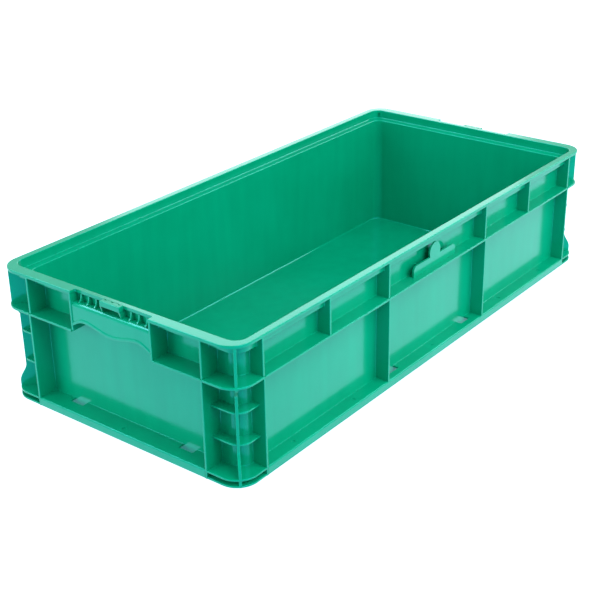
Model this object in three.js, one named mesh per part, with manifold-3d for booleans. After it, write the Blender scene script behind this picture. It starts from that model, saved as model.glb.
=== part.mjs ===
// Stacking plastic crate: a straight-walled injection-moulded container with a flanged rim,
// a waist flange, a base ledge, upright ribs and a hand grip at each end.
// Millimetres, +Z up. X runs along the crate, Y across it; the origin is under its middle.
// Every sub-part is one region of the moulding, closed by the planes where it meets the next.
import * as THREE from "three";
import { mergeVertices } from "three/addons/utils/BufferGeometryUtils.js";
import Module from "manifold-3d";

const wasm = await Module();
wasm.setup();

// Overall size
const LENGTH = 813;
const WIDTH = 381;
const HEIGHT = 190;
const HALF_X = LENGTH / 2;
const HALF_Y = WIDTH / 2;

// Heights
const FOOT_TOP = 3;
const FLOOR_TOP = 4;
const SKIRT_BOTTOM = 12;
const RING_TOP = 14.5;
const LEDGE_BOTTOM = 20.5;
const LEDGE_TOP = 23;
const WAIST_BOTTOM = 136.5;
const WAIST_TOP = 139.5;
const SHELF_BOTTOM = 172.5;
const SHELF_TOP = 175;
const RECESS_BOTTOM = 175;
const RECESS_TOP = 177.5;
const RIM_BOTTOM = 186;
const GUSSET_HEIGHTS = [60, 100.5];
const GUSSET_THICKNESS = 2.5;

// Depths in from the outermost faces, at the ends (X) and at the long sides (Y)
const FLANGE = { x: 0, y: 0, radius: 28 };
const RIM = { x: 1, y: 1, radius: 27 };
const RECESS_OUTER = { x: 14, y: 8.5, radius: 18 };
const RECESS_INNER = { x: 16.5, y: 11, radius: 15.5 };
const GUSSET = { x: 12.5, y: 8.2, radius: 17.5 };
const FOOT = { x: 25, y: 17.5, radius: 17.5 };
const TUB_OUTER = { x: 27, y: 19.5, radius: 16 };
const TUB_INNER = { x: 29.5, y: 22, radius: 13.5 };
const WALL = TUB_INNER.x - TUB_OUTER.x;
const SKIRT = 2.5;

// Ribs
const RIB = 3;
const CORNER_RIB_X = 360;
const CORNER_RIB_Y = 138.5;
const SIDE_RIBS_UPPER = [-238, -116.5, 116.5, 238];
const SIDE_RIBS_LOWER = [-116.5, 116.5];
const GRIP_RIB_Y = 64;

// Corner fins
const FIN = 3.5;
const FIN_INSET = 0.3;
const FIN_ROOT = 34;
const FIN_DRAWN_IN = 9.5;
const FIN_FLARE_BOTTOM = 30;
const FIN_FLARE_TOP = 54;
const FIN_NECK_BOTTOM = 123;

// Corner posts and rim corners begin at the outer faces of the corner ribs.
const CORNER_X = CORNER_RIB_X + RIB / 2;
const CORNER_Y = CORNER_RIB_Y + RIB / 2;
const SPAN_X = CORNER_RIB_X - RIB / 2;
const SPAN_Y = CORNER_RIB_Y - RIB / 2;

// Base ledge slots and ejector dimples
const SLOT_LENGTH = 22;
const SLOT_WIDTH = 9;
const SIDE_SLOTS = [-89, 89];
const END_SLOTS = [-91, 91];
const DIMPLE = 5;
const DIMPLE_DEPTH = 0.6;
const DIMPLE_INSET = 10;
const SIDE_DIMPLES = [-300, -180, 0, 180, 300];
const END_DIMPLES = [0];

// Hand grip
const GRIP_HALF = GRIP_RIB_Y - RIB / 2;
const NOTCH_DEPTH = 10;
const APRON = 3;
const APRON_ROUND = 4.5;
const WAVE_DIP = 146;
const WAVE_HUMP = 153;
const WAVE_END = 145;
const WAVE_HUMP_Y = 43;
const WAVE_STEPS = 36;
const GRIP_GUSSETS = [-53, -40.5, -28, 28, 40.5, 53];
const GRIP_GUSSET = 2;
const GUSSET_FOOT = 4;
const LATCH_HALF = 16;
const LATCH_FACE = 3;
const LATCH_BOTTOM = 183;
const LATCH_WALL = 2.5;
const LATCH_SLOTS = [-11, 0, 11];
const CHEEK = 2;

// Blank badge standing on the waist flange, in the middle bay of the front wall
const BADGE_LENGTH = 100;
const BADGE_HEIGHT = 15;
const BADGE_DISC = 12.5;
const BADGE_DISC_Z = 160;
const BADGE_FACE = 181.5;
const BADGE_THICKNESS = 2.5;
const BADGE_WEBS = [-32, 0, 32];
const BADGE_WEB = 2;
const BADGE_WEB_TOP = 151;

const ARC_STEPS = 8;
const GREEN = 0x07a37c;

// ---------------------------------------------------------------- joining and cutting

function solid(geometry) {
  const bare = new THREE.BufferGeometry();
  const source = geometry.index ? geometry.toNonIndexed() : geometry;
  bare.setAttribute("position", source.getAttribute("position"));
  const merged = mergeVertices(bare, 1e-4);
  return new wasm.Manifold(
    new wasm.Mesh({
      numProp: 3,
      vertProperties: merged.getAttribute("position").array,
      triVerts: new Uint32Array(merged.index.array),
    })
  );
}

function geometryOf(manifold) {
  const mesh = manifold.getMesh();
  const indexed = new THREE.BufferGeometry();
  indexed.setAttribute("position", new THREE.BufferAttribute(mesh.vertProperties, mesh.numProp));
  indexed.setIndex(new THREE.BufferAttribute(mesh.triVerts, 1));
  const geometry = indexed.toNonIndexed();
  geometry.computeVertexNormals();
  return geometry;
}

function join(geometries) {
  const [first, ...rest] = geometries.map(solid);
  return geometryOf(rest.reduce((whole, next) => whole.add(next), first));
}

function cut(geometry, tools) {
  return geometryOf(tools.map(solid).reduce((whole, tool) => whole.subtract(tool), solid(geometry)));
}

// ---------------------------------------------------------------- basic shapes

function box(x0, x1, y0, y1, z0, z1) {
  const geometry = new THREE.BoxGeometry(x1 - x0, y1 - y0, z1 - z0);
  return geometry.translate((x0 + x1) / 2, (y0 + y1) / 2, (z0 + z1) / 2);
}

function extrude(points, depth) {
  const shape = new THREE.Shape(points.map(([u, v]) => new THREE.Vector2(u, v)));
  return new THREE.ExtrudeGeometry(shape, { depth, bevelEnabled: false });
}

// A plan outline of [x, y] points raised from z0 to z1.
function plate(points, z0, z1) {
  return extrude(points, z1 - z0).translate(0, 0, z0);
}

// A section of [y, z] points run along X from x0 to x1.
function alongX(points, x0, x1) {
  const turn = new THREE.Matrix4().set(0, 0, 1, x0, 1, 0, 0, 0, 0, 1, 0, 0, 0, 0, 0, 1);
  return extrude(points, x1 - x0).applyMatrix4(turn);
}

// A section of [x, z] points run along Y from y0 to y1.
function alongY(points, y0, y1) {
  const turn = new THREE.Matrix4().set(0, 1, 0, 0, 0, 0, 1, y0, 1, 0, 0, 0, 0, 0, 0, 1);
  return extrude(points.map(([x, z]) => [z, x]), y1 - y0).applyMatrix4(turn);
}

// A copy mirrored in X, Y or both, with its faces still turned outwards.
function mirrored(geometry, sx, sy) {
  const copy = (geometry.index ? geometry.toNonIndexed() : geometry.clone()).scale(sx, sy, 1);
  if (sx * sy > 0) {
    return copy;
  }
  const position = copy.getAttribute("position");
  for (let i = 0; i < position.count; i += 3) {
    const second = new THREE.Vector3().fromBufferAttribute(position, i + 1);
    const third = new THREE.Vector3().fromBufferAttribute(position, i + 2);
    position.setXYZ(i + 1, third.x, third.y, third.z);
    position.setXYZ(i + 2, second.x, second.y, second.z);
  }
  copy.computeVertexNormals();
  return copy;
}

// ---------------------------------------------------------------- plan outlines

// One corner of a rounded outline in the +X +Y quadrant, from the long side round to the end.
function cornerCurve(outline) {
  const centreX = HALF_X - outline.x - outline.radius;
  const centreY = HALF_Y - outline.y - outline.radius;
  const points = [];
  for (let i = 0; i <= ARC_STEPS; i += 1) {
    const angle = (Math.PI / 2) * (1 - i / ARC_STEPS);
    points.push([
      centreX + outline.radius * Math.cos(angle),
      centreY + outline.radius * Math.sin(angle),
    ]);
  }
  return points;
}

// The band between two outlines round one corner, cut square at the corner rib faces.
function cornerBand(outer, inner) {
  const path = (outline) => [
    [CORNER_X, HALF_Y - outline.y],
    ...cornerCurve(outline),
    [HALF_X - outline.x, CORNER_Y],
  ];
  return [...path(outer), ...path(inner).reverse()];
}

// Everything inside an outline near one corner.
function cornerCore(outline) {
  const backX = CORNER_X - 40;
  const backY = CORNER_Y - 40;
  return [
    [backX, backY],
    [backX, HALF_Y - outline.y],
    ...cornerCurve(outline),
    [HALF_X - outline.x, backY],
  ];
}

function wholeOutline(outline) {
  const corner = cornerCurve(outline);
  const turned = [...corner].reverse();
  return [
    ...turned,
    ...corner.map(([x, y]) => [-x, y]),
    ...turned.map(([x, y]) => [-x, -y]),
    ...corner.map(([x, y]) => [x, -y]),
  ];
}

// ---------------------------------------------------------------- rim

// Flange, recess wall and stacking ledge in one section; half is the half-size it runs round.
function rimSection(half, edge, outer, inner, tub) {
  return [
    [half - edge, RIM_BOTTOM],
    [half - edge, HEIGHT],
    [half - inner, HEIGHT],
    [half - inner, RECESS_TOP],
    [half - tub, RECESS_TOP],
    [half - tub, RECESS_BOTTOM],
    [half - outer, RECESS_BOTTOM],
    [half - outer, RIM_BOTTOM],
  ];
}

function rimSide() {
  const section = rimSection(HALF_Y, RIM.y, RECESS_OUTER.y, RECESS_INNER.y, TUB_INNER.y);
  return alongX(section, -CORNER_X, CORNER_X);
}

function rimEnd() {
  const section = rimSection(HALF_X, RIM.x, RECESS_OUTER.x, RECESS_INNER.x, TUB_INNER.x);
  const notch = box(
    HALF_X - NOTCH_DEPTH, HALF_X + 1, -GRIP_HALF, GRIP_HALF, RIM_BOTTOM - 1, HEIGHT + 1
  );
  return cut(alongY(section, -CORNER_Y, CORNER_Y), [notch]);
}

function rimCorner() {
  return join([
    plate(cornerBand(RIM, RECESS_INNER), RIM_BOTTOM, HEIGHT),
    plate(cornerBand(RECESS_OUTER, RECESS_INNER), RECESS_BOTTOM, RIM_BOTTOM),
    plate(cornerBand(RECESS_OUTER, TUB_INNER), RECESS_BOTTOM, RECESS_TOP),
  ]);
}

// ---------------------------------------------------------------- ribs

// A rib standing off a wall: deep beside the tub, shallow beside the recess wall above it.
// Below the top of the waist flange it is flush with the flange, above it with the rim.
function ribSection(half, tub, recess, z0, z1) {
  const lower = half - FLANGE.x;
  const upper = half - RIM.x;
  if (z1 <= WAIST_BOTTOM) {
    return [[lower, z0], [half - tub, z0], [half - tub, z1], [lower, z1]];
  }
  const start = z0 < WAIST_TOP ? [[upper, WAIST_TOP], [lower, WAIST_TOP], [lower, z0]] : [[upper, z0]];
  return [
    ...start,
    [half - tub, z0],
    [half - tub, RECESS_BOTTOM],
    [half - recess, RECESS_BOTTOM],
    [half - recess, z1],
    [upper, z1],
  ];
}

function sideRib(x, z0, z1) {
  const section = ribSection(HALF_Y, TUB_OUTER.y, RECESS_OUTER.y, z0, z1);
  return alongX(section, x - RIB / 2, x + RIB / 2);
}

function endRib(y, z0, z1) {
  const section = ribSection(HALF_X, TUB_OUTER.x, RECESS_OUTER.x, z0, z1);
  return alongY(section, y - RIB / 2, y + RIB / 2);
}

// ---------------------------------------------------------------- corner post

// A smooth change of inset from one height to another.
function easedEdge(z0, z1, inset0, inset1) {
  const steps = 6;
  const points = [];
  for (let i = 0; i <= steps; i += 1) {
    const t = i / steps;
    const ease = (1 - Math.cos(Math.PI * t)) / 2;
    points.push([-(inset0 + (inset1 - inset0) * ease), z0 + (z1 - z0) * t]);
  }
  return points;
}

// An upright plate at 45 degrees across the bend: full reach at the flanges, drawn in between.
function cornerFin() {
  const bend = FLANGE.radius * (1 - Math.SQRT1_2);
  const section = [
    [-FIN_ROOT, SKIRT_BOTTOM],
    [-FIN_INSET, SKIRT_BOTTOM],
    ...easedEdge(FIN_FLARE_BOTTOM, FIN_FLARE_TOP, FIN_INSET, FIN_DRAWN_IN),
    ...easedEdge(FIN_NECK_BOTTOM, WAIST_BOTTOM, FIN_DRAWN_IN, FIN_INSET),
    [-FIN_INSET, WAIST_TOP],
    [-FIN_INSET - RIM.x, WAIST_TOP],
    [-FIN_INSET - RIM.x, RIM_BOTTOM],
    [-FIN_ROOT, RIM_BOTTOM],
  ];
  return alongY(section, -FIN / 2, FIN / 2)
    .rotateZ(Math.PI / 4)
    .translate(HALF_X - FLANGE.x - bend, HALF_Y - FLANGE.y - bend, 0);
}

// The bend of the tub with its fin, gussets, and its part of the waist, ledge and base ring.
function cornerPost() {
  const tub = plate(cornerCore(TUB_INNER), 0, RECESS_BOTTOM);
  const recess = plate(cornerCore(RECESS_OUTER), RECESS_BOTTOM, HEIGHT);
  return join([
    plate(cornerBand(TUB_OUTER, TUB_INNER), FOOT_TOP, RECESS_BOTTOM),
    plate(cornerBand(FLANGE, TUB_OUTER), SKIRT_BOTTOM, RING_TOP),
    plate(cornerBand(FLANGE, TUB_OUTER), LEDGE_BOTTOM, LEDGE_TOP),
    plate(cornerBand(FLANGE, TUB_OUTER), WAIST_BOTTOM, WAIST_TOP),
    ...GUSSET_HEIGHTS.map((z) => plate(cornerBand(GUSSET, TUB_OUTER), z, z + GUSSET_THICKNESS)),
    cut(cornerFin(), [tub, recess]),
  ]);
}

// ---------------------------------------------------------------- floor and base ledge

// A foot plate that the walls stand on, with the inside floor raised between them.
function floorPanel() {
  return join([
    plate(wholeOutline(FOOT), 0, FOOT_TOP),
    plate(wholeOutline(TUB_INNER), FOOT_TOP, FLOOR_TOP),
  ]);
}

function dimple(x, y) {
  const geometry = new THREE.CylinderGeometry(DIMPLE / 2, DIMPLE / 2, 2, 10);
  return geometry.rotateX(Math.PI / 2).translate(x, y, LEDGE_TOP - DIMPLE_DEPTH + 1);
}

function ledgeSide() {
  const wall = HALF_Y - TUB_OUTER.y;
  const ledge = box(-SPAN_X, SPAN_X, wall, HALF_Y - FLANGE.y, LEDGE_BOTTOM, LEDGE_TOP);
  const slots = SIDE_SLOTS.map((x) =>
    box(x - SLOT_LENGTH / 2, x + SLOT_LENGTH / 2, wall - 1, wall + SLOT_WIDTH, 15, 25)
  );
  const dimples = SIDE_DIMPLES.map((x) => dimple(x, HALF_Y - DIMPLE_INSET));
  return cut(ledge, [...slots, ...dimples]);
}

// The skirt that hangs from the outer edge of a long ledge.
function skirtSide() {
  const face = HALF_Y - FLANGE.y;
  return box(-SPAN_X, SPAN_X, face - SKIRT, face, SKIRT_BOTTOM, LEDGE_BOTTOM);
}

// The ledge at an end, in one with its skirt.
function ledgeEnd() {
  const wall = HALF_X - TUB_OUTER.x;
  const face = HALF_X - FLANGE.x;
  const section = [
    [face, SKIRT_BOTTOM],
    [face, LEDGE_TOP],
    [wall, LEDGE_TOP],
    [wall, LEDGE_BOTTOM],
    [face - SKIRT, LEDGE_BOTTOM],
    [face - SKIRT, SKIRT_BOTTOM],
  ];
  const slots = END_SLOTS.map((y) =>
    box(wall - 1, wall + SLOT_WIDTH, y - SLOT_LENGTH / 2, y + SLOT_LENGTH / 2, 15, 25)
  );
  const dimples = END_DIMPLES.map((y) => dimple(HALF_X - DIMPLE_INSET, y));
  return cut(alongY(section, -SPAN_Y, SPAN_Y), [...slots, ...dimples]);
}

// ---------------------------------------------------------------- hand grip

// Height of the apron's wavy lower edge at a distance y from its middle.
function waveHeight(y) {
  const away = Math.abs(y);
  if (away < WAVE_HUMP_Y) {
    const rise = (1 - Math.cos((Math.PI * away) / WAVE_HUMP_Y)) / 2;
    return WAVE_DIP + (WAVE_HUMP - WAVE_DIP) * rise;
  }
  const t = (away - WAVE_HUMP_Y) / (GRIP_HALF - WAVE_HUMP_Y);
  return WAVE_END + (WAVE_HUMP - WAVE_END) * Math.cos((Math.PI / 2) * t);
}

// The front of the grip: a plate with a rounded top edge and a wavy bottom edge.
function gripApron() {
  const face = HALF_X - RIM.x;
  const round = [];
  for (let i = 0; i <= 5; i += 1) {
    const angle = (Math.PI / 2) * (i / 5);
    round.push([
      face - APRON_ROUND + APRON_ROUND * Math.cos(angle),
      SHELF_TOP - APRON_ROUND + APRON_ROUND * Math.sin(angle),
    ]);
  }
  const section = [
    [face, WAIST_BOTTOM],
    ...round,
    [face - APRON_ROUND, SHELF_BOTTOM],
    [face - APRON, SHELF_BOTTOM - 1.5],
    [face - APRON, WAIST_BOTTOM],
  ];
  const below = [[-GRIP_HALF - 1, WAIST_BOTTOM - 1]];
  for (let i = 0; i <= WAVE_STEPS; i += 1) {
    const y = -GRIP_HALF + (2 * GRIP_HALF * i) / WAVE_STEPS;
    below.push([y, waveHeight(y)]);
  }
  below.push([GRIP_HALF + 1, WAIST_BOTTOM - 1]);
  const wave = alongX(below, face - APRON - 5, face + 5);
  return cut(alongY(section, -GRIP_HALF, GRIP_HALF), [wave]);
}

// A small gusset with a hollow front, standing on the shelf under the notched rim.
function gripGusset(y) {
  const back = HALF_X - RECESS_OUTER.x;
  const top = HALF_X - NOTCH_DEPTH;
  const section = [[back, SHELF_TOP - 1], [back, RIM_BOTTOM]];
  for (let i = 0; i <= 5; i += 1) {
    const angle = (Math.PI / 2) * (i / 5);
    section.push([
      top + GUSSET_FOOT * (1 - Math.cos(angle)),
      RIM_BOTTOM - (RIM_BOTTOM - SHELF_TOP - 1) * Math.sin(angle),
    ]);
  }
  section.push([top + GUSSET_FOOT, SHELF_TOP - 1]);
  return alongY(section, y - GRIP_GUSSET / 2, y + GRIP_GUSSET / 2);
}

// A side of the latch pocket, carrying the latch tab.
function latchCheek(side) {
  const section = [
    [HALF_X - RECESS_OUTER.x, SHELF_TOP - 1],
    [HALF_X - RECESS_OUTER.x, RIM_BOTTOM],
    [HALF_X - NOTCH_DEPTH, RIM_BOTTOM],
    [HALF_X - NOTCH_DEPTH, LATCH_BOTTOM],
    [HALF_X - LATCH_FACE, LATCH_BOTTOM],
    [HALF_X - LATCH_FACE - 3, SHELF_TOP],
    [HALF_X - LATCH_FACE - 3, SHELF_TOP - 1],
  ];
  const y = side * (LATCH_HALF - CHEEK / 2);
  return alongY(section, y - CHEEK / 2, y + CHEEK / 2);
}

function gripShelf() {
  const face = HALF_X - RIM.x - APRON_ROUND;
  return join([
    box(HALF_X - TUB_OUTER.x, face, -GRIP_HALF, GRIP_HALF, SHELF_BOTTOM, SHELF_TOP),
    ...GRIP_GUSSETS.map(gripGusset),
    latchCheek(-1),
    latchCheek(1),
  ]);
}

// A hollow tab bridging the middle of the notch, with three finger slots in its top.
function latchTab() {
  const back = HALF_X - NOTCH_DEPTH;
  const front = HALF_X - LATCH_FACE;
  const wall = LATCH_WALL;
  const inside = box(
    back - 1, front - wall, -LATCH_HALF + wall, LATCH_HALF - wall, LATCH_BOTTOM - 1, HEIGHT - 3
  );
  const slots = LATCH_SLOTS.map((y) => box(back - 1, back + 1.8, y - 2, y + 2, LATCH_BOTTOM - 1, HEIGHT + 1));
  const tab = box(back, front, -LATCH_HALF, LATCH_HALF, LATCH_BOTTOM, HEIGHT);
  return cut(tab, [inside, ...slots]);
}

// ---------------------------------------------------------------- badge

// A blank bar with rounded top corners and a blank disc over it, tied to the wall by webs.
function badgePlate() {
  const half = BADGE_LENGTH / 2;
  const radius = BADGE_HEIGHT / 2;
  const top = WAIST_TOP + BADGE_HEIGHT;
  const bar = new THREE.Shape();
  bar.moveTo(-half, WAIST_TOP);
  bar.lineTo(half, WAIST_TOP);
  bar.absarc(half - radius, top - radius, radius, 0, Math.PI / 2);
  bar.absarc(radius - half, top - radius, radius, Math.PI / 2, Math.PI);
  const disc = new THREE.Shape();
  disc.absarc(0, BADGE_DISC_Z, BADGE_DISC, 0, 2 * Math.PI);
  const raised = (shape) => {
    const options = { depth: BADGE_THICKNESS, bevelEnabled: false, curveSegments: 12 };
    return new THREE.ExtrudeGeometry(shape, options)
      .rotateX(Math.PI / 2)
      .translate(0, BADGE_THICKNESS - BADGE_FACE, 0);
  };
  const back = BADGE_THICKNESS - BADGE_FACE - 1;
  const webs = BADGE_WEBS.map((x) =>
    box(x - BADGE_WEB / 2, x + BADGE_WEB / 2, back, TUB_OUTER.y - HALF_Y, WAIST_TOP, BADGE_WEB_TOP)
  );
  return join([raised(bar), raised(disc), ...webs]);
}

// ---------------------------------------------------------------- the crate

const crate = new THREE.Group();
crate.name = "stacking_plastic_crate";

function add(name, geometry) {
  const material = new THREE.MeshStandardMaterial({ color: GREEN, roughness: 0.3 });
  const mesh = new THREE.Mesh(geometry, material);
  mesh.name = name;
  crate.add(mesh);
}

const ENDS = [["left", -1], ["right", 1]];
const SIDES = [["front", -1], ["rear", 1]];
const wallX = HALF_X - TUB_OUTER.x;
const wallY = HALF_Y - TUB_OUTER.y;

add("floor_panel", floorPanel());

for (const [side, sy] of SIDES) {
  const place = (name, geometry) => add(name, mirrored(geometry, 1, sy));
  const wall = box(-CORNER_X, CORNER_X, wallY - WALL, wallY, FOOT_TOP, RECESS_BOTTOM);
  const waist = box(-SPAN_X, SPAN_X, wallY, HALF_Y - FLANGE.y, WAIST_BOTTOM, WAIST_TOP);
  place(`wall_${side}`, wall);
  place(`rim_${side}`, rimSide());
  place(`waist_flange_${side}`, waist);
  place(`base_ledge_${side}`, ledgeSide());
  place(`base_skirt_${side}`, skirtSide());
  SIDE_RIBS_UPPER.forEach((x, i) => {
    place(`upper_rib_${side}_${i + 1}`, sideRib(x, WAIST_TOP, RIM_BOTTOM));
  });
  SIDE_RIBS_LOWER.forEach((x, i) => {
    place(`lower_rib_${side}_${i + 1}`, sideRib(x, LEDGE_TOP, WAIST_BOTTOM));
  });
}

for (const [end, sx] of ENDS) {
  const place = (name, geometry) => add(name, mirrored(geometry, sx, 1));
  const wall = box(wallX - WALL, wallX, -CORNER_Y, CORNER_Y, FOOT_TOP, RECESS_BOTTOM);
  place(`wall_${end}`, wall);
  place(`rim_${end}`, rimEnd());
  place(`base_ledge_${end}`, ledgeEnd());
  place(`grip_shelf_${end}`, gripShelf());
  place(`grip_apron_${end}`, gripApron());
  place(`latch_tab_${end}`, latchTab());
}

for (const [end, sx] of ENDS) {
  for (const [side, sy] of SIDES) {
    const corner = `${side}_${end}`;
    const place = (name, geometry) => add(name, mirrored(geometry, sx, sy));
    const waist = box(
      wallX, HALF_X - FLANGE.x, GRIP_RIB_Y + RIB / 2, SPAN_Y, WAIST_BOTTOM, WAIST_TOP
    );
    place(`corner_post_${corner}`, cornerPost());
    place(`rim_corner_${corner}`, rimCorner());
    place(`corner_rib_side_${corner}`, sideRib(CORNER_RIB_X, SKIRT_BOTTOM, RIM_BOTTOM));
    place(`corner_rib_end_${corner}`, endRib(CORNER_RIB_Y, SKIRT_BOTTOM, RIM_BOTTOM));
    place(`grip_rib_${corner}`, endRib(GRIP_RIB_Y, WAIST_BOTTOM, RIM_BOTTOM));
    place(`waist_flange_${corner}`, waist);
  }
}

add("badge_plate", badgePlate());

export default crate;
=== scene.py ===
"""Stacking plastic crate: the glossy green moulding, its studio and its camera.

Sizes are in millimetres and become metres as each mesh is made. A section is a list of
(outline, height, rounding) corners, and an outline is (depth in from the outermost face at
the ends, the same at the long sides, radius of its corners in plan).
"""

import math

import bmesh
import bpy
from mathutils import Matrix, Vector


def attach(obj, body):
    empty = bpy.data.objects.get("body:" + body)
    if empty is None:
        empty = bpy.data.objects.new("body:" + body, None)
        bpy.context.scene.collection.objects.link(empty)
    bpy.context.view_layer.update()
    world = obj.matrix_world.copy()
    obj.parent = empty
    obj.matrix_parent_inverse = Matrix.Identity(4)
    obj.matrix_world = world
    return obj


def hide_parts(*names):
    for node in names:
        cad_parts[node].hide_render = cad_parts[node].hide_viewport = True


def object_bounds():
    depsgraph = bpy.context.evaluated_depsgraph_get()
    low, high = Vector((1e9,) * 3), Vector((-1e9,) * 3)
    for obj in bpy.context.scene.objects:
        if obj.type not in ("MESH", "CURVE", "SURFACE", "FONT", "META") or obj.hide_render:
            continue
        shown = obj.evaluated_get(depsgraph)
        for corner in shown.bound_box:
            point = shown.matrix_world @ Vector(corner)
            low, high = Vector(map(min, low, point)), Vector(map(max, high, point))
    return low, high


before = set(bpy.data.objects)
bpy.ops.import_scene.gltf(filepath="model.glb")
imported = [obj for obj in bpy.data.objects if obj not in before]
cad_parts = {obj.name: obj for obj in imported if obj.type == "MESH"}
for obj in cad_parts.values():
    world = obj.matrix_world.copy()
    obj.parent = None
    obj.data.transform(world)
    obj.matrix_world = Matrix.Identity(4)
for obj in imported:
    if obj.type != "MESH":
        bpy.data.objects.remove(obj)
cad_low, cad_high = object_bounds()

MM = 0.001
HALF_X = cad_high.x / MM
HALF_Y = cad_high.y / MM
HEIGHT = cad_high.z / MM

FLANGE = (0.0, 0.0, 28.0)
RIM = (1.0, 1.0, 27.0)
RECESS_OUTER = (14.0, 8.5, 18.0)
RECESS_INNER = (16.5, 11.0, 15.5)
GUSSET = (12.5, 8.2, 17.5)
FOOT = (25.0, 17.5, 17.5)
TUB_OUTER = (27.0, 19.5, 16.0)
TUB_INNER = (29.5, 22.0, 13.5)

FOOT_TOP = 3.0
FLOOR_TOP = 4.0
SKIRT_BOTTOM = 12.0
RING_TOP = 14.5
LEDGE_BOTTOM = 20.5
LEDGE_TOP = 23.0
WAIST_BOTTOM = 136.5
WAIST_TOP = 139.5
SHELF_BOTTOM = 172.5
SHELF_TOP = 175.0
RECESS_BOTTOM = 175.0
RECESS_TOP = 177.5
RIM_BOTTOM = 186.0
GUSSET_HEIGHTS = (60.0, 100.5)
GUSSET_THICKNESS = 2.5

RIB = 3.0
CORNER_RIB_X = 360.0
CORNER_RIB_Y = 138.5
CORNER_X = CORNER_RIB_X + RIB / 2
CORNER_Y = CORNER_RIB_Y + RIB / 2
SPAN_X = CORNER_RIB_X - RIB / 2
SPAN_Y = CORNER_RIB_Y - RIB / 2
SIDE_RIBS_UPPER = (-238.0, -116.5, 116.5, 238.0)
SIDE_RIBS_LOWER = (-116.5, 116.5)

FIN_HALF = 1.75
FIN_INSET = 0.3  # how far the fin stays behind the flange faces
FIN_DRAWN_IN = 9.5
FIN_BACK = 34.0
FIN_FLARE = (30.0, 54.0)
FIN_NECK_BOTTOM = 123.0

SKIRT = 2.5
SLOT_LENGTH = 22.0
SLOT_WIDTH = 9.0
SIDE_SLOTS = (-89.0, 89.0)
END_SLOTS = (-91.0, 91.0)
DIMPLE_RADIUS = 2.6
DIMPLE_DEPTH = 0.7
DIMPLE_INSET = 10.0
SIDE_DIMPLES = (-300.0, -180.0, 0.0, 180.0, 300.0)

GRIP_RIB_Y = 64.0
GRIP_HALF = GRIP_RIB_Y - RIB / 2
NOTCH = 10.0  # depth of the cut in the lip over a grip
WAVE_DIP = 146.0
WAVE_HUMP = 153.0
WAVE_END = 145.0
WAVE_HUMP_Y = 43.0
APRON_ROUND = 4.5
GRIP_GUSSETS = (-53.0, -40.5, -28.0, 28.0, 40.5, 53.0)
LATCH_BOTTOM = 183.0
LATCH_HALF = 16.0
LATCH_FACE = 3.0
LATCH_WALL = 2.5
LATCH_SLOTS = (-11.0, 0.0, 11.0)
LATCH_SLOT = 4.0
CHEEK_Y = 15.0
THIN = 2.0  # thickness of the small gussets, cheeks and badge webs

BADGE_INSET = 9.0
BADGE_THICKNESS = 2.5
BADGE_LENGTH = 100.0
BADGE_HEIGHT = 15.0
BADGE_DISC = 12.5
BADGE_DISC_Z = 160.0
BADGE_WEBS = (-32.0, 0.0, 32.0)
BADGE_WEB_TOP = 151.0

EDGE = 0.8  # rounding of the flange edges
BROW = 2.0  # rounding over the skirt's top edge
ROOT = 0.8  # fillet where a rib or flange leaves a wall
BITE = 0.5  # how far such a fillet's foot goes into the wall
BEND = 2.0  # fillet between the inside floor and the walls
ARC = 20  # steps round a corner of the crate

CUT_TOP = 25.0  # cuts in the base ledge end above it
SOFTENED = math.radians(50)  # edges sharper than this are rounded
CREASE = math.radians(32)  # edges sharper than this keep their line in the shading
WELD = 1e-4


# ---------------------------------------------------------------- outlines and sections


def shifted(outline, depth):
    """The outline moved further in by that depth."""
    return (outline[0] + depth, outline[1] + depth, outline[2] - depth)


def rounded_corner(before, here, after, radius, steps):
    """Points of the arc that rounds one corner of a flat outline."""
    a = (before - here).normalized()
    b = (after - here).normalized()
    half = a.angle(b) / 2
    centre = here + (a + b).normalized() * (radius / math.sin(half))
    start = here + a * (radius / math.tan(half)) - centre
    end = here + b * (radius / math.tan(half)) - centre
    sweep = start.angle(end)
    points = []
    for k in range(steps + 1):
        t = k / steps
        near = math.sin((1 - t) * sweep) / math.sin(sweep)
        far = math.sin(t * sweep) / math.sin(sweep)
        points.append(centre + start * near + end * far)
    return points


def rounded(corners, steps=4):
    """A closed flat outline of (u, v, rounding) corners with each corner rounded."""
    flat = [Vector((c[0], c[1])) for c in corners]
    points = []
    for i, (_, _, radius) in enumerate(corners):
        if radius:
            after = flat[(i + 1) % len(flat)]
            points += rounded_corner(flat[i - 1], flat[i], after, radius, steps)
        else:
            points.append(flat[i])
    return points


def section(corners, steps=4):
    """(outline, height) points of a section whose corners are (outline, height, rounding)."""
    points = []
    for i, (outline, height, radius) in enumerate(corners):
        if not radius:
            points.append((outline, height))
            continue
        before, after = corners[i - 1], corners[(i + 1) % len(corners)]
        here = Vector((outline[1], height))
        arc = rounded_corner(
            Vector((before[0][1], before[1])), here, Vector((after[0][1], after[1])), radius, steps
        )
        points += [(shifted(outline, p.x - here.x), p.y) for p in arc]
    return points


def root_arc(outline, height, up, steps=4):
    """The fillet where a flange leaves a wall, from the wall to the flange's face."""
    points = []
    for k in range(steps + 1):
        t = math.pi / 2 * k / steps
        rise = ROOT * (1 - math.sin(t))
        points.append((shifted(outline, -ROOT * (1 - math.cos(t))), height + up * rise))
    return points


def flange_section(low, high):
    """A flange standing out of the tub wall, with a rounded lip and filleted roots."""
    lip = section([(TUB_OUTER, low, 0), (FLANGE, low, EDGE), (FLANGE, high, EDGE), (TUB_OUTER, high, 0)])
    inside = shifted(TUB_OUTER, BITE)
    under = root_arc(TUB_OUTER, low, -1)
    over = root_arc(TUB_OUTER, high, 1)
    return [(inside, low - ROOT), *under, *lip[1:-1], *reversed(over), (inside, high + ROOT)]


# ---------------------------------------------------------------- paths in plan


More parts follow.
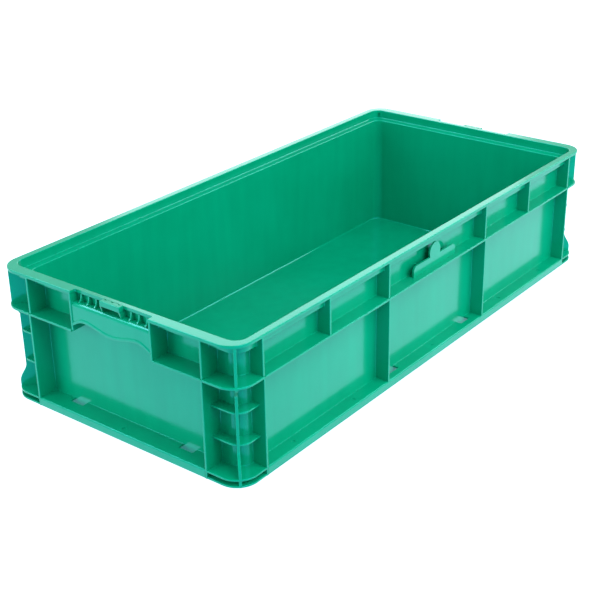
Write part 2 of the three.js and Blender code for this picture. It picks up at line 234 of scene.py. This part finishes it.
def corner_curve(outline):
    """The bend of an outline in the +X +Y corner, from the long side round to the end."""
    x = HALF_X - outline[0] - outline[2]
    y = HALF_Y - outline[1] - outline[2]
    turns = [math.pi / 2 * (1 - k / ARC) for k in range(ARC + 1)]
    return [(x + outline[2] * math.cos(t), y + outline[2] * math.sin(t)) for t in turns]


def round_the_corner(outline):
    """An outline from the side corner rib, round the bend, to the end corner rib."""
    side = (CORNER_X, HALF_Y - outline[1])
    end = (HALF_X - outline[0], CORNER_Y)
    return [side, *corner_curve(outline), end]


def all_round(outline):
    """The whole outline."""
    bend = corner_curve(outline)
    back = bend[::-1]
    return (
        bend
        + [(x, -y) for x, y in back]
        + [(-x, -y) for x, y in bend]
        + [(-x, y) for x, y in back]
    )


def along_side(x0, x1):
    return lambda outline: [(x0, HALF_Y - outline[1]), (x1, HALF_Y - outline[1])]


def along_end(y0, y1):
    return lambda outline: [(HALF_X - outline[0], y1), (HALF_X - outline[0], y0)]


# ---------------------------------------------------------------- closed solids in bmesh


def tidy(bm):
    bmesh.ops.remove_doubles(bm, verts=bm.verts, dist=WELD)
    bmesh.ops.recalc_face_normals(bm, faces=bm.faces)
    return bm


def stack_of_rings(rings, joined_ends=False):
    """A closed solid through rings of points: capped at both ends, or joined into a loop."""
    bm = bmesh.new()
    rows = [[bm.verts.new(p) for p in ring] for ring in rings]
    count = len(rows[0])
    pairs = list(zip(rows, rows[1:]))
    if joined_ends:
        pairs.append((rows[-1], rows[0]))
    for row, following in pairs:
        for i in range(count):
            j = (i + 1) % count
            bm.faces.new((row[i], row[j], following[j], following[i]))
    if not joined_ends:
        bm.faces.new(rows[0])
        bm.faces.new(rows[-1][::-1])
    return tidy(bm)


def swept(points, path):
    """A section of (outline, height) points carried along a path in plan."""
    lines = [path(outline) for outline, _ in points]
    rings = [
        [(line[j][0], line[j][1], height) for line, (_, height) in zip(lines, points)]
        for j in range(len(lines[0]))
    ]
    return stack_of_rings(rings)


def prism(outline, low, high, axes="xyz"):
    """A flat outline of (u, v) points raised from low to high; axes names what u, v and the rise are."""
    order = [axes.index(a) for a in "xyz"]
    rings = [[[(p[0], p[1], h)[i] for i in order] for p in outline] for h in (low, high)]
    return stack_of_rings(rings)


def block(low, high):
    """A square-edged block between two corners."""
    (x0, y0, z0), (x1, y1, z1) = low, high
    return prism([(x0, y0), (x1, y0), (x1, y1), (x0, y1)], z0, z1)


def soften(bm, chosen, width, steps=3):
    """Rounds the sharp edges whose middle passes the test."""
    edges = [
        e
        for e in bm.edges
        if len(e.link_faces) == 2
        and e.calc_face_angle(0) > SOFTENED
        and chosen((e.verts[0].co + e.verts[1].co) / 2)
    ]
    bmesh.ops.bevel(
        bm, geom=edges, offset=width, segments=steps, profile=0.5, affect="EDGES", clamp_overlap=True
    )
    return tidy(bm)


def as_object(bm, name):
    mesh = bpy.data.meshes.new(name)
    bm.to_mesh(mesh)
    bm.free()
    thing = bpy.data.objects.new(name, mesh)
    bpy.context.scene.collection.objects.link(thing)
    return thing


def combined(first, others, operation):
    """The first solid joined with, or cut by, the others."""
    base = as_object(first, "base")
    tools = [as_object(other, "tool") for other in others]
    for tool in tools:
        step = base.modifiers.new("step", "BOOLEAN")
        step.operation = operation
        step.solver = "EXACT"
        step.object = tool
    bpy.context.view_layer.update()
    made = base.evaluated_get(bpy.context.evaluated_depsgraph_get())
    bm = bmesh.new()
    bm.from_mesh(made.to_mesh())
    made.to_mesh_clear()
    for thing in [base, *tools]:
        mesh = thing.data
        bpy.data.objects.remove(thing)
        bpy.data.meshes.remove(mesh)
    return tidy(bm)


def join(first, *others):
    return combined(first, others, "UNION")


def cut(first, *others):
    return combined(first, others, "DIFFERENCE")


# ---------------------------------------------------------------- the plastic


def node(tree, kind, **settings):
    made = tree.nodes.new(kind)
    for name, value in settings.items():
        if name in made.inputs:
            made.inputs[name].default_value = value
        else:
            setattr(made, name, value)
    return made


def noise(tree, where, stretch, scale, detail):
    """Noise in the crate's own space, stretched by a factor along each axis."""
    mapping = node(tree, "ShaderNodeMapping")
    mapping.inputs["Scale"].default_value = stretch
    tree.links.new(where, mapping.inputs["Vector"])
    texture = node(tree, "ShaderNodeTexNoise", Scale=scale, Detail=detail, Roughness=0.55)
    tree.links.new(mapping.outputs["Vector"], texture.inputs["Vector"])
    return texture.outputs["Fac"]


def scaled(tree, value, low, high):
    """The middle of a noise's range spread from low to high."""
    made = node(tree, "ShaderNodeMapRange")
    made.inputs["From Min"].default_value = 0.3
    made.inputs["From Max"].default_value = 0.7
    made.inputs["To Min"].default_value = low
    made.inputs["To Max"].default_value = high
    tree.links.new(value, made.inputs["Value"])
    return made.outputs["Result"]


def bump(tree, height, strength, distance, under=None):
    made = node(tree, "ShaderNodeBump", Strength=strength, Distance=distance)
    tree.links.new(height, made.inputs["Height"])
    if under:
        tree.links.new(under, made.inputs["Normal"])
    return made.outputs["Normal"]


def green_plastic():
    """Glossy polypropylene: cloudy pigment, faint draw marks down the walls, a slightly uneven gloss."""
    material = bpy.data.materials.new("green_plastic")
    material.use_nodes = True
    tree = material.node_tree
    link = tree.links.new
    plastic = tree.nodes["Principled BSDF"]
    where = node(tree, "ShaderNodeTexCoord").outputs["Object"]

    clouds = noise(tree, where, (1, 1, 1), 9.0, 3.0)
    flow = noise(tree, where, (1, 1, 0.12), 60.0, 4.0)
    grain = noise(tree, where, (1, 1, 1), 2600.0, 2.0)
    specks = noise(tree, where, (1, 1, 1), 420.0, 6.0)

    pigment = node(tree, "ShaderNodeMix", data_type="RGBA")
    pigment.inputs["A"].default_value = (0.0002, 0.292, 0.148, 1)
    pigment.inputs["B"].default_value = (0.0004, 0.325, 0.172, 1)
    link(scaled(tree, clouds, 0, 1), pigment.inputs["Factor"])
    streaked = node(tree, "ShaderNodeMix", data_type="RGBA", blend_type="MULTIPLY")
    streaked.inputs["Factor"].default_value = 1.0
    shade = node(tree, "ShaderNodeCombineColor")
    dimming = scaled(tree, flow, 0.95, 1.03)
    for channel in ("Red", "Green", "Blue"):
        link(dimming, shade.inputs[channel])
    link(pigment.outputs["Result"], streaked.inputs["A"])
    link(shade.outputs["Color"], streaked.inputs["B"])
    link(streaked.outputs["Result"], plastic.inputs["Base Color"])

    gloss = node(tree, "ShaderNodeMath", operation="ADD")
    link(scaled(tree, flow, 0.12, 0.18), gloss.inputs[0])
    link(scaled(tree, specks, -0.02, 0.05), gloss.inputs[1])
    link(gloss.outputs["Value"], plastic.inputs["Roughness"])
    plastic.inputs["IOR"].default_value = 1.5
    plastic.inputs["Specular IOR Level"].default_value = 0.8
    plastic.inputs["Specular Tint"].default_value = (0.03, 0.72, 1, 1)

    wavy = bump(tree, clouds, 0.5, 0.0006)
    drawn = bump(tree, flow, 0.25, 0.00008, wavy)
    fine = bump(tree, grain, 0.12, 0.00003, drawn)
    link(fine, plastic.inputs["Normal"])
    return material


PLASTIC = green_plastic()


def piece(bm, name, *nodes, flip=(1, 1)):
    """Puts a solid on the crate, mirrored to its own side, in place of its CAD nodes."""
    bmesh.ops.scale(bm, vec=(MM * flip[0], MM * flip[1], MM), verts=bm.verts)
    bmesh.ops.remove_doubles(bm, verts=bm.verts, dist=WELD * MM)
    bmesh.ops.dissolve_degenerate(bm, edges=bm.edges, dist=WELD * MM)
    bmesh.ops.recalc_face_normals(bm, faces=bm.faces)
    for face in bm.faces:
        face.smooth = True
    for edge in bm.edges:
        edge.smooth = edge.calc_face_angle(math.pi) < CREASE
    thing = as_object(bm, name)
    thing.data.materials.append(PLASTIC)
    even = thing.modifiers.new("even shading", "WEIGHTED_NORMAL")
    even.keep_sharp = True
    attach(thing, "root")
    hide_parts(*(nodes or [name]))
    return thing


# ---------------------------------------------------------------- floor


def floor_panel():
    """The foot plate, with the inside floor curving up into the walls."""
    points = [(shifted(TUB_INNER, BEND + 4), FLOOR_TOP)]
    for k in range(6):
        t = math.pi / 2 * k / 5
        depth = BEND * (1 - math.sin(t))
        points.append((shifted(TUB_INNER, depth), FLOOR_TOP + BEND * (1 - math.cos(t))))
    inside = shifted(TUB_INNER, -BITE)
    points += [(inside, FLOOR_TOP + BEND), (inside, FOOT_TOP - BITE)]
    foot = section(
        [
            (TUB_INNER, FOOT_TOP, 0),
            (FOOT, FOOT_TOP, EDGE),
            (FOOT, 0, EDGE),
            (TUB_INNER, 0, 0),
        ]
    )
    points += [*foot[1:-1], (shifted(FOOT, 10), 0)]
    rings = [[(x, y, height) for x, y in all_round(outline)] for outline, height in points]
    return stack_of_rings(rings)


# ---------------------------------------------------------------- walls and rim


def wall_section():
    return [
        (TUB_OUTER, FOOT_TOP),
        (TUB_OUTER, RECESS_BOTTOM),
        (TUB_INNER, RECESS_BOTTOM),
        (TUB_INNER, FOOT_TOP),
    ]


def rim_section():
    """Lip, recess wall and stacking ledge."""
    return section(
        [
            (RIM, RIM_BOTTOM, 0.6),
            (RIM, HEIGHT, 1.1),
            (RECESS_INNER, HEIGHT, 1.1),
            (RECESS_INNER, RECESS_TOP, 1.0),
            (TUB_INNER, RECESS_TOP, 1.0),
            (TUB_INNER, RECESS_BOTTOM, 0),
            (RECESS_OUTER, RECESS_BOTTOM, 0.8),
            (RECESS_OUTER, RIM_BOTTOM, 0.8),
        ]
    )


def rim_end():
    """The rim over a grip: its lip is cut back behind the hand."""
    whole = swept(rim_section(), along_end(-CORNER_Y, CORNER_Y))
    hand = rounded(
        [
            (HALF_X - NOTCH, GRIP_HALF, 2.0),
            (HALF_X - NOTCH, -GRIP_HALF, 2.0),
            (HALF_X + 5, -GRIP_HALF, 0),
            (HALF_X + 5, GRIP_HALF, 0),
        ]
    )
    opened = cut(whole, prism(hand, RIM_BOTTOM - 0.7, HEIGHT + 1))

    def on_the_notch(p):
        beside = abs(abs(p.y) - GRIP_HALF) < 0.05 and p.x > HALF_X - NOTCH + 1
        behind = abs(p.x - HALF_X + NOTCH) < 0.05 and abs(p.y) < GRIP_HALF
        return (beside or behind) and p.z > RIM_BOTTOM + 1

    return soften(opened, on_the_notch, 0.7, 2)


# ---------------------------------------------------------------- ribs


def rib_plan(half_size, wall, outer_face):
    """A rib seen from above: rounded outer edges, and a fillet on each side of its root."""
    half = RIB / 2
    face = half_size - outer_face
    root = half_size - wall
    points = [(-half - ROOT, root - BITE)]
    for k in range(5):
        t = math.pi / 2 * k / 4
        points.append((-half - ROOT + ROOT * math.sin(t), root + ROOT * (1 - math.cos(t))))
    outer = rounded([(-half, root, 0), (-half, face, 0.7), (half, face, 0.7), (half, root, 0)])
    points += [(p.x, p.y) for p in outer[1:-1]]
    points += [(-u, v) for u, v in reversed(points[:6])]
    return points


def upright_rib(half_size, tub, recess, low, high, at, on_end):
    """A rib between two flanges: flush with the waist flange below it, with the rim above it."""

    def part(wall, outer_face, z0, z1):
        plan = rib_plan(half_size, wall, outer_face)
        turned = [(v, u + at) if on_end else (u + at, v) for u, v in plan]
        return prism(turned, z0, z1)

    if high <= WAIST_BOTTOM:
        return part(tub, FLANGE[1], low - EDGE, high + EDGE)
    start = low - EDGE if low >= WAIST_TOP else WAIST_TOP - EDGE
    parts = [
        part(tub, RIM[1], start, RECESS_BOTTOM + 0.4),
        part(recess, RIM[1], RECESS_BOTTOM - 0.4, high + 0.5),
    ]
    if low < WAIST_BOTTOM:
        parts.append(part(tub, FLANGE[1], low - EDGE, WAIST_TOP - EDGE / 2))
    return join(*parts)


def side_rib(x, low, high):
    return upright_rib(HALF_Y, TUB_OUTER[1], RECESS_OUTER[1], low, high, x, False)


def end_rib(y, low, high):
    return upright_rib(HALF_X, TUB_OUTER[0], RECESS_OUTER[0], low, high, y, True)


# ---------------------------------------------------------------- corner posts


def fin():
    """The upright plate across the bend, drawn in between the flanges."""
    reach = FLANGE[2] * (1 - math.sqrt(0.5))
    inset = FIN_INSET

    def eased(z0, z1, from_inset, to_inset):
        points = []
        for k in range(13):
            t = k / 12
            ease = (1 - math.cos(math.pi * t)) / 2
            points.append((-(from_inset + (to_inset - from_inset) * ease), z0 + (z1 - z0) * t))
        return points

    outline = [
        (-FIN_BACK, SKIRT_BOTTOM),
        (-inset, SKIRT_BOTTOM),
        *eased(*FIN_FLARE, inset, FIN_DRAWN_IN),
        *eased(FIN_NECK_BOTTOM, WAIST_BOTTOM, FIN_DRAWN_IN, inset),
        (-inset, WAIST_TOP - 0.2),
        (-inset - RIM[0], WAIST_TOP - 0.2),
        (-inset - RIM[0], RIM_BOTTOM + 0.4),
        (-FIN_BACK, RIM_BOTTOM + 0.4),
    ]
    plate = prism(outline, -FIN_HALF, FIN_HALF, "xzy")
    soften(plate, lambda p: p.x > -12 and SKIRT_BOTTOM + 0.1 < p.z < RIM_BOTTOM, 0.7)
    place = Matrix.Translation((HALF_X - FLANGE[0] - reach, HALF_Y - FLANGE[1] - reach, 0))
    bmesh.ops.transform(plate, matrix=place @ Matrix.Rotation(math.pi / 4, 4, "Z"), verts=plate.verts)
    tub = prism(core(TUB_INNER), -1, RECESS_BOTTOM + 0.4)
    recess = prism(core(RECESS_INNER), RECESS_BOTTOM - 1, HEIGHT + 1)
    return cut(plate, tub, recess)


def core(outline):
    """Everything inside an outline near one corner."""
    back_x, back_y = CORNER_X - 40, CORNER_Y - 40
    bend = corner_curve(outline)
    return [(back_x, back_y), (back_x, HALF_Y - outline[1]), *bend, (HALF_X - outline[0], back_y)]


def gusset_section(z):
    """A small shelf between the tub and the fin."""
    inside = shifted(TUB_OUTER, BITE)
    top = z + GUSSET_THICKNESS
    lip = section([(TUB_OUTER, z, 0), (GUSSET, z, 0.7), (GUSSET, top, 0.7), (TUB_OUTER, top, 0)])
    return [(inside, z), *lip[1:-1], (inside, top)]


def corner_post():
    bands = [flange_section(SKIRT_BOTTOM + 0.001, RING_TOP)]
    bands.append(flange_section(LEDGE_BOTTOM, LEDGE_TOP))
    bands.append(flange_section(WAIST_BOTTOM, WAIST_TOP))
    bands += [gusset_section(z) for z in GUSSET_HEIGHTS]
    parts = [swept(points, round_the_corner) for points in bands]
    return join(swept(wall_section(), round_the_corner), *parts, fin())


# ---------------------------------------------------------------- base ledge


def ledge_section():
    """The ledge with its hanging skirt, filleted to the wall above and below."""
    inside = shifted(TUB_OUTER, BITE)
    behind_skirt = shifted(FLANGE, SKIRT)
    lip = section(
        [
            (TUB_OUTER, LEDGE_BOTTOM, 0),
            (behind_skirt, LEDGE_BOTTOM, 1.0),
            (behind_skirt, SKIRT_BOTTOM, 0.5),
            (FLANGE, SKIRT_BOTTOM, 0.7),
            (FLANGE, LEDGE_TOP, BROW),
            (TUB_OUTER, LEDGE_TOP, 0),
        ]
    )
    under = root_arc(TUB_OUTER, LEDGE_BOTTOM, -1)
    over = root_arc(TUB_OUTER, LEDGE_TOP, 1)
    middle = [*under, *lip[1:-1], *reversed(over)]
    return [(inside, LEDGE_BOTTOM - ROOT), *middle, (inside, LEDGE_TOP + ROOT)]


def slot(x0, x1, y0, y1):
    outline = rounded([(x0, y0, EDGE), (x1, y0, EDGE), (x1, y1, EDGE), (x0, y1, EDGE)])
    return prism(outline, SKIRT_BOTTOM - 4, CUT_TOP)


def dimple(x, y):
    """A shallow ejector mark."""
    turns = [2 * math.pi * k / 24 for k in range(24)]
    circle = [(x + DIMPLE_RADIUS * math.cos(t), y + DIMPLE_RADIUS * math.sin(t)) for t in turns]
    return prism(circle, LEDGE_TOP - DIMPLE_DEPTH, CUT_TOP)


def ledge_side():
    wall = HALF_Y - TUB_OUTER[1]
    half = SLOT_LENGTH / 2
    slots = [slot(x - half, x + half, wall - 0.4, wall + SLOT_WIDTH) for x in SIDE_SLOTS]
    dimples = [dimple(x, HALF_Y - DIMPLE_INSET) for x in SIDE_DIMPLES]
    return cut(swept(ledge_section(), along_side(-SPAN_X, SPAN_X)), *slots, *dimples)


def ledge_end():
    wall = HALF_X - TUB_OUTER[0]
    half = SLOT_LENGTH / 2
    slots = [slot(wall - 0.4, wall + SLOT_WIDTH, y - half, y + half) for y in END_SLOTS]
    mark = dimple(HALF_X - DIMPLE_INSET, 0)
    return cut(swept(ledge_section(), along_end(-SPAN_Y, SPAN_Y)), *slots, mark)


# ---------------------------------------------------------------- hand grip


def wave(y):
    """Height of the apron's lower edge: a dip in the middle between two humps."""
    away = abs(y)
    if away < WAVE_HUMP_Y:
        rise = WAVE_HUMP - WAVE_DIP
        return WAVE_DIP + rise * (1 - math.cos(math.pi * away / WAVE_HUMP_Y)) / 2
    fall = WAVE_HUMP - WAVE_END
    return WAVE_END + fall * math.cos(math.pi / 2 * (away - WAVE_HUMP_Y) / (GRIP_HALF - WAVE_HUMP_Y))


def grip_apron():
    """The front of the grip: a rolled top, a plain face and a bead along its wavy edge."""
    face, bead, back = 2.2, 1.0, 4.6
    r = APRON_ROUND
    turns = [math.pi / 2 * k / 8 for k in range(9)]
    roll = [(face + r * (1 - math.cos(t)), SHELF_TOP - r + r * math.sin(t)) for t in turns]
    rings = []
    stations = 90
    for k in range(stations + 1):
        y = -GRIP_HALF + 2 * GRIP_HALF * k / stations
        w = wave(y)
        edge = [
            (back, w + 0.5),
            (back - 0.5, w),
            (bead + 0.8, w),
            (bead + 0.25, w + 0.25),
            (bead, w + 0.9),
            (bead, w + 3.3),
            (bead + 0.3, w + 4.0),
            (face - 0.3, w + 4.5),
            (face, w + 5.2),
        ]
        outline = [(face + r, SHELF_BOTTOM), (back, SHELF_BOTTOM - 1.5), *edge, *roll]
        rings.append([(HALF_X - inset, y, z) for inset, z in outline])
    return stack_of_rings(rings)


def small_gusset(y):
    """A thin gusset with a hollow front, under the cut-back lip."""
    back, top = HALF_X - RECESS_OUTER[0] - BITE, HALF_X - NOTCH
    points = [(back, SHELF_TOP - 0.5), (back, RIM_BOTTOM + 0.5), (top, RIM_BOTTOM + 0.5)]
    for k in range(9):
        t = math.pi / 2 * k / 8
        points.append((top + 4 * (1 - math.cos(t)), RIM_BOTTOM - 9.5 * math.sin(t)))
    points.append((top + 4, SHELF_TOP - 0.5))
    plate = prism(points, y - THIN / 2, y + THIN / 2, "xzy")
    return soften(plate, lambda p: p.x > top - 0.1 and p.z < RIM_BOTTOM + 0.2, 0.35, 2)


def latch_cheek(side):
    """One side wall of the pocket under the latch tab."""
    foot = HALF_X - 2 * LATCH_FACE
    back = HALF_X - RECESS_OUTER[0] - BITE
    points = [
        (back, SHELF_TOP - 0.5),
        (back, RIM_BOTTOM),
        (HALF_X - NOTCH, RIM_BOTTOM),
        (HALF_X - NOTCH, LATCH_BOTTOM + 0.5),
        (HALF_X - 3.4, LATCH_BOTTOM + 0.5),
        (foot, SHELF_TOP - 0.5),
    ]
    y = side * CHEEK_Y
    plate = prism(points, y - THIN / 2, y + THIN / 2, "xzy")
    return soften(plate, lambda p: p.x > foot - 1 and SHELF_TOP < p.z < LATCH_BOTTOM + 0.4, 0.35, 2)


def grip_shelf():
    """The shelf over the fingers, with its gussets and the cheeks of the latch pocket."""
    back, front = HALF_X - TUB_OUTER[0] - BITE, HALF_X - 6.7
    shelf = block((back, -GRIP_HALF, SHELF_BOTTOM), (front, GRIP_HALF, SHELF_TOP))
    gussets = [small_gusset(y) for y in GRIP_GUSSETS]
    return join(shelf, *gussets, latch_cheek(-1), latch_cheek(1))


def latch_tab():
    """A hollow tab bridging the middle of the notch, with three slots in its top."""
    back, front = HALF_X - NOTCH, HALF_X - LATCH_FACE
    tab = block((back - 0.6, -LATCH_HALF, LATCH_BOTTOM), (front, LATCH_HALF, HEIGHT))
    soften(tab, lambda p: p.x > back and not (p.z < LATCH_BOTTOM + 1 and p.x < front - 1), 0.9)
    half = LATCH_HALF - LATCH_WALL
    inside = block((back - 2, -half, LATCH_BOTTOM - 3), (front - LATCH_WALL, half, HEIGHT - 3))
    slots = [slot_in_tab(y, back) for y in LATCH_SLOTS]
    return cut(tab, inside, *slots)


def slot_in_tab(y, back):
    y0, y1 = y - LATCH_SLOT / 2, y + LATCH_SLOT / 2
    outline = [(back - 2, y0, 0), (back + 1.8, y0, 0.5), (back + 1.8, y1, 0.5), (back - 2, y1, 0)]
    return prism(rounded(outline), LATCH_BOTTOM - 3, HEIGHT + 2)


# ---------------------------------------------------------------- badge


def badge_plate():
    """A blank bar with a blank disc over it, tied to the wall by webs."""
    front = HALF_Y - BADGE_INSET
    rear = front - BADGE_THICKNESS
    foot, top = WAIST_TOP - 0.5, WAIST_TOP + BADGE_HEIGHT
    half, end = BADGE_LENGTH / 2, BADGE_HEIGHT / 2
    bar = rounded([(-half, foot, 0), (half, foot, 0), (half, top, end), (-half, top, end)], 12)
    turns = [2 * math.pi * k / 64 for k in range(64)]
    disc = [(BADGE_DISC * math.cos(t), BADGE_DISC_Z + BADGE_DISC * math.sin(t)) for t in turns]
    both = join(prism(bar, rear, front, "xzy"), prism(disc, rear, front, "xzy"))
    soften(both, lambda p: p.y > front - 0.05 and p.z > WAIST_TOP, 0.6)
    root = HALF_Y - TUB_OUTER[1] - BITE
    thin = THIN / 2
    webs = [block((x - thin, root, foot), (x + thin, front - 1.5, BADGE_WEB_TOP)) for x in BADGE_WEBS]
    return join(both, *webs)


# ---------------------------------------------------------------- the crate

ENDS = (("left", -1), ("right", 1))
SIDES = (("front", -1), ("rear", 1))

piece(floor_panel(), "floor_panel")
piece(badge_plate(), "badge_plate", flip=(1, -1))

for side, sy in SIDES:
    there = (1, sy)
    piece(swept(wall_section(), along_side(-CORNER_X, CORNER_X)), f"wall_{side}", flip=there)
    piece(swept(rim_section(), along_side(-CORNER_X, CORNER_X)), f"rim_{side}", flip=there)
    waist = swept(flange_section(WAIST_BOTTOM, WAIST_TOP), along_side(-SPAN_X, SPAN_X))
    piece(waist, f"waist_flange_{side}", flip=there)
    piece(ledge_side(), f"base_ledge_{side}", f"base_ledge_{side}", f"base_skirt_{side}", flip=there)
    for i, x in enumerate(SIDE_RIBS_UPPER, 1):
        piece(side_rib(x, WAIST_TOP, RIM_BOTTOM), f"upper_rib_{side}_{i}", flip=there)
    for i, x in enumerate(SIDE_RIBS_LOWER, 1):
        piece(side_rib(x, LEDGE_TOP, WAIST_BOTTOM), f"lower_rib_{side}_{i}", flip=there)

for end, sx in ENDS:
    there = (sx, 1)
    piece(swept(wall_section(), along_end(-CORNER_Y, CORNER_Y)), f"wall_{end}", flip=there)
    piece(rim_end(), f"rim_{end}", flip=there)
    piece(ledge_end(), f"base_ledge_{end}", flip=there)
    piece(grip_shelf(), f"grip_shelf_{end}", flip=there)
    piece(grip_apron(), f"grip_apron_{end}", flip=there)
    piece(latch_tab(), f"latch_tab_{end}", flip=there)

for end, sx in ENDS:
    for side, sy in SIDES:
        where, there = f"{side}_{end}", (sx, sy)
        piece(corner_post(), f"corner_post_{where}", flip=there)
        piece(swept(rim_section(), round_the_corner), f"rim_corner_{where}", flip=there)
        side_one = side_rib(CORNER_RIB_X, SKIRT_BOTTOM + EDGE, RIM_BOTTOM)
        piece(side_one, f"corner_rib_side_{where}", flip=there)
        end_one = end_rib(CORNER_RIB_Y, SKIRT_BOTTOM + EDGE, RIM_BOTTOM)
        piece(end_one, f"corner_rib_end_{where}", flip=there)
        piece(end_rib(GRIP_RIB_Y, WAIST_BOTTOM + EDGE, RIM_BOTTOM), f"grip_rib_{where}", flip=there)
        stub = swept(flange_section(WAIST_BOTTOM, WAIST_TOP), along_end(GRIP_RIB_Y + RIB / 2, SPAN_Y))
        piece(stub, f"waist_flange_{where}", flip=there)


# ---------------------------------------------------------------- studio


def pale_floor():
    """A pale floor that shines, so that it stays white in shadow, but casts no light on the crate. Its
    glow is painted dimmer near a spot in front of the crate, a painted shadow that the crate's walls
    reflect.
    """
    material = bpy.data.materials.new("pale_floor")
    material.use_nodes = True
    tree = material.node_tree
    surface = tree.nodes["Principled BSDF"]
    surface.inputs["Base Color"].default_value = (0.22, 0.28, 0.32, 1)
    surface.inputs["Roughness"].default_value = 0.7
    surface.inputs["Emission Color"].default_value = (0.72, 0.86, 1, 1)
    where = node(tree, "ShaderNodeTexCoord").outputs["Object"]
    # painted shadow: the glow is weaker close to a spot just in front of the crate, so the crate's
    # reflections of the floor are darker there
    away = node(tree, "ShaderNodeVectorMath", operation="DISTANCE")
    away.inputs[1].default_value = (0.0, -0.45, 0.0)
    tree.links.new(where, away.inputs[0])
    glow = node(tree, "ShaderNodeMapRange", interpolation_type="SMOOTHSTEP")
    glow.inputs["From Min"].default_value = 0.1
    glow.inputs["From Max"].default_value = 0.8
    glow.inputs["To Min"].default_value = 1.3
    glow.inputs["To Max"].default_value = 1.45
    tree.links.new(away.outputs["Value"], glow.inputs["Value"])
    tree.links.new(glow.outputs["Result"], surface.inputs["Emission Strength"])
    mesh = bpy.data.meshes.new("studio_floor")
    reach = 40
    corners = [(-reach, -reach, 0), (reach, -reach, 0), (reach, reach, 0), (-reach, reach, 0)]
    mesh.from_pydata(corners, [], [(0, 1, 2, 3)])
    mesh.materials.append(material)
    floor = bpy.data.objects.new("studio_floor", mesh)
    bpy.context.scene.collection.objects.link(floor)
    floor.visible_diffuse = False


def soft_light(name, place, size, power, only_seen=False, only_lights=False):
    """A square softbox aimed at the middle of the crate, or one that is only reflected or only lights."""
    data = bpy.data.lights.new(name, "AREA")
    data.shape = "SQUARE"
    data.size = size
    data.energy = power
    light = bpy.data.objects.new(name, data)
    light.location = place
    aim = Vector((0, 0, HEIGHT * MM / 2)) - Vector(place)
    light.rotation_euler = aim.to_track_quat("-Z", "Y").to_euler()
    light.visible_diffuse = not only_seen
    light.visible_glossy = not only_lights
    bpy.context.scene.collection.objects.link(light)


def white_room():
    """White all round, brighter overhead."""
    world = bpy.data.worlds.new("white_room")
    world.use_nodes = True
    tree = world.node_tree
    sky = tree.nodes["Background"]
    sky.inputs["Color"].default_value = (0.94, 1, 1.03, 1)
    towards = node(tree, "ShaderNodeVectorMath", operation="DOT_PRODUCT")
    towards.inputs[1].default_value = (0, 0, 1)
    tree.links.new(node(tree, "ShaderNodeTexCoord").outputs["Generated"], towards.inputs[0])
    glow = node(tree, "ShaderNodeMapRange")
    glow.inputs["To Min"].default_value = 0.68
    glow.inputs["To Max"].default_value = 1.2
    tree.links.new(towards.outputs["Value"], glow.inputs["Value"])
    tree.links.new(glow.outputs["Result"], sky.inputs["Strength"])
    bpy.context.scene.world = world


def photo_camera():
    """The photograph's view: from the front left, 26 degrees up, through a 74 mm lens."""
    data = bpy.data.cameras.new("camera")
    data.sensor_width = 36
    data.lens = 73.92
    data.clip_start = 0.05
    camera = bpy.data.objects.new("camera", data)
    azimuth, elevation, roll = (math.radians(a) for a in (-51.901, 25.516, -0.997))
    back = Vector(
        (
            math.sin(azimuth) * math.cos(elevation),
            -math.cos(azimuth) * math.cos(elevation),
            math.sin(elevation),
        )
    )
    level = Vector((math.cos(azimuth), math.sin(azimuth), 0))
    upright = back.cross(level)
    right = level * math.cos(roll) + upright * math.sin(roll)
    up = upright * math.cos(roll) - level * math.sin(roll)
    turn = Matrix((right, up, back)).transposed().to_4x4()
    camera.matrix_world = Matrix.Translation((-1.2575, -0.9444, 0.7901)) @ turn
    bpy.context.scene.collection.objects.link(camera)
    bpy.context.scene.camera = camera


pale_floor()
white_room()
soft_light("softbox_front", place=(-0.2, -1.9, 1.95), size=2.0, power=58)
soft_light("fill_front", place=(0.8, -1.8, 0.35), size=1.2, power=14, only_lights=True)
soft_light("fill_left", place=(-1.9, 0.9, 0.4), size=1.0, power=20, only_lights=True)
soft_light("card_back", place=(-0.5, 1.3, 2.0), size=1.3, power=36, only_seen=True)
soft_light("card_right", place=(1.8, -0.3, 1.7), size=1.0, power=20, only_seen=True)
soft_light("card_low", place=(2.1, 1.6, 1.3), size=1.5, power=14, only_seen=True)
photo_camera()
bpy.context.scene.view_settings.view_transform = "Standard"
